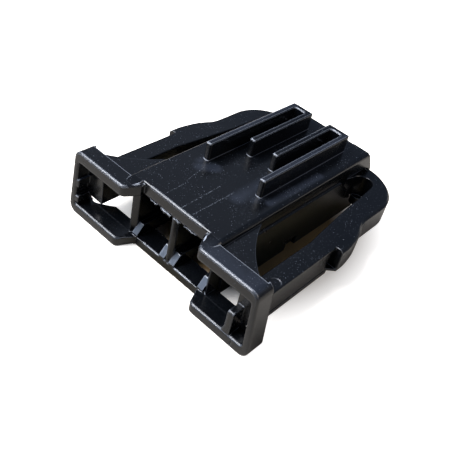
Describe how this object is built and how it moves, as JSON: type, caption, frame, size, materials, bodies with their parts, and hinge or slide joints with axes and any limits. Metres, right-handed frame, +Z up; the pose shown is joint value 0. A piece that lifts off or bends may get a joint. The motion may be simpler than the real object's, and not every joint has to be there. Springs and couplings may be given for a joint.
{
  "type": "connector housing",
  "caption": "Moulded plug housing with an open-framed mating collar, terminal chambers, looped latch arms at the sides and guide ribs on the roof.",
  "frame": {"origin": "middle of the collar's front face, at the level of the underside", "axes": "+X along the mating face to the right, +Y from the mating face to the wire end, +Z up through the ribbed roof"},
  "size_m": [0.0426, 0.0474, 0.0171],
  "materials": {
    "black_plastic": "black glass-filled nylon, satin with a fine moulded grain"
  },
  "bodies": {
    "root": {"housing": "black_plastic"}
  },
  "joints": []
}
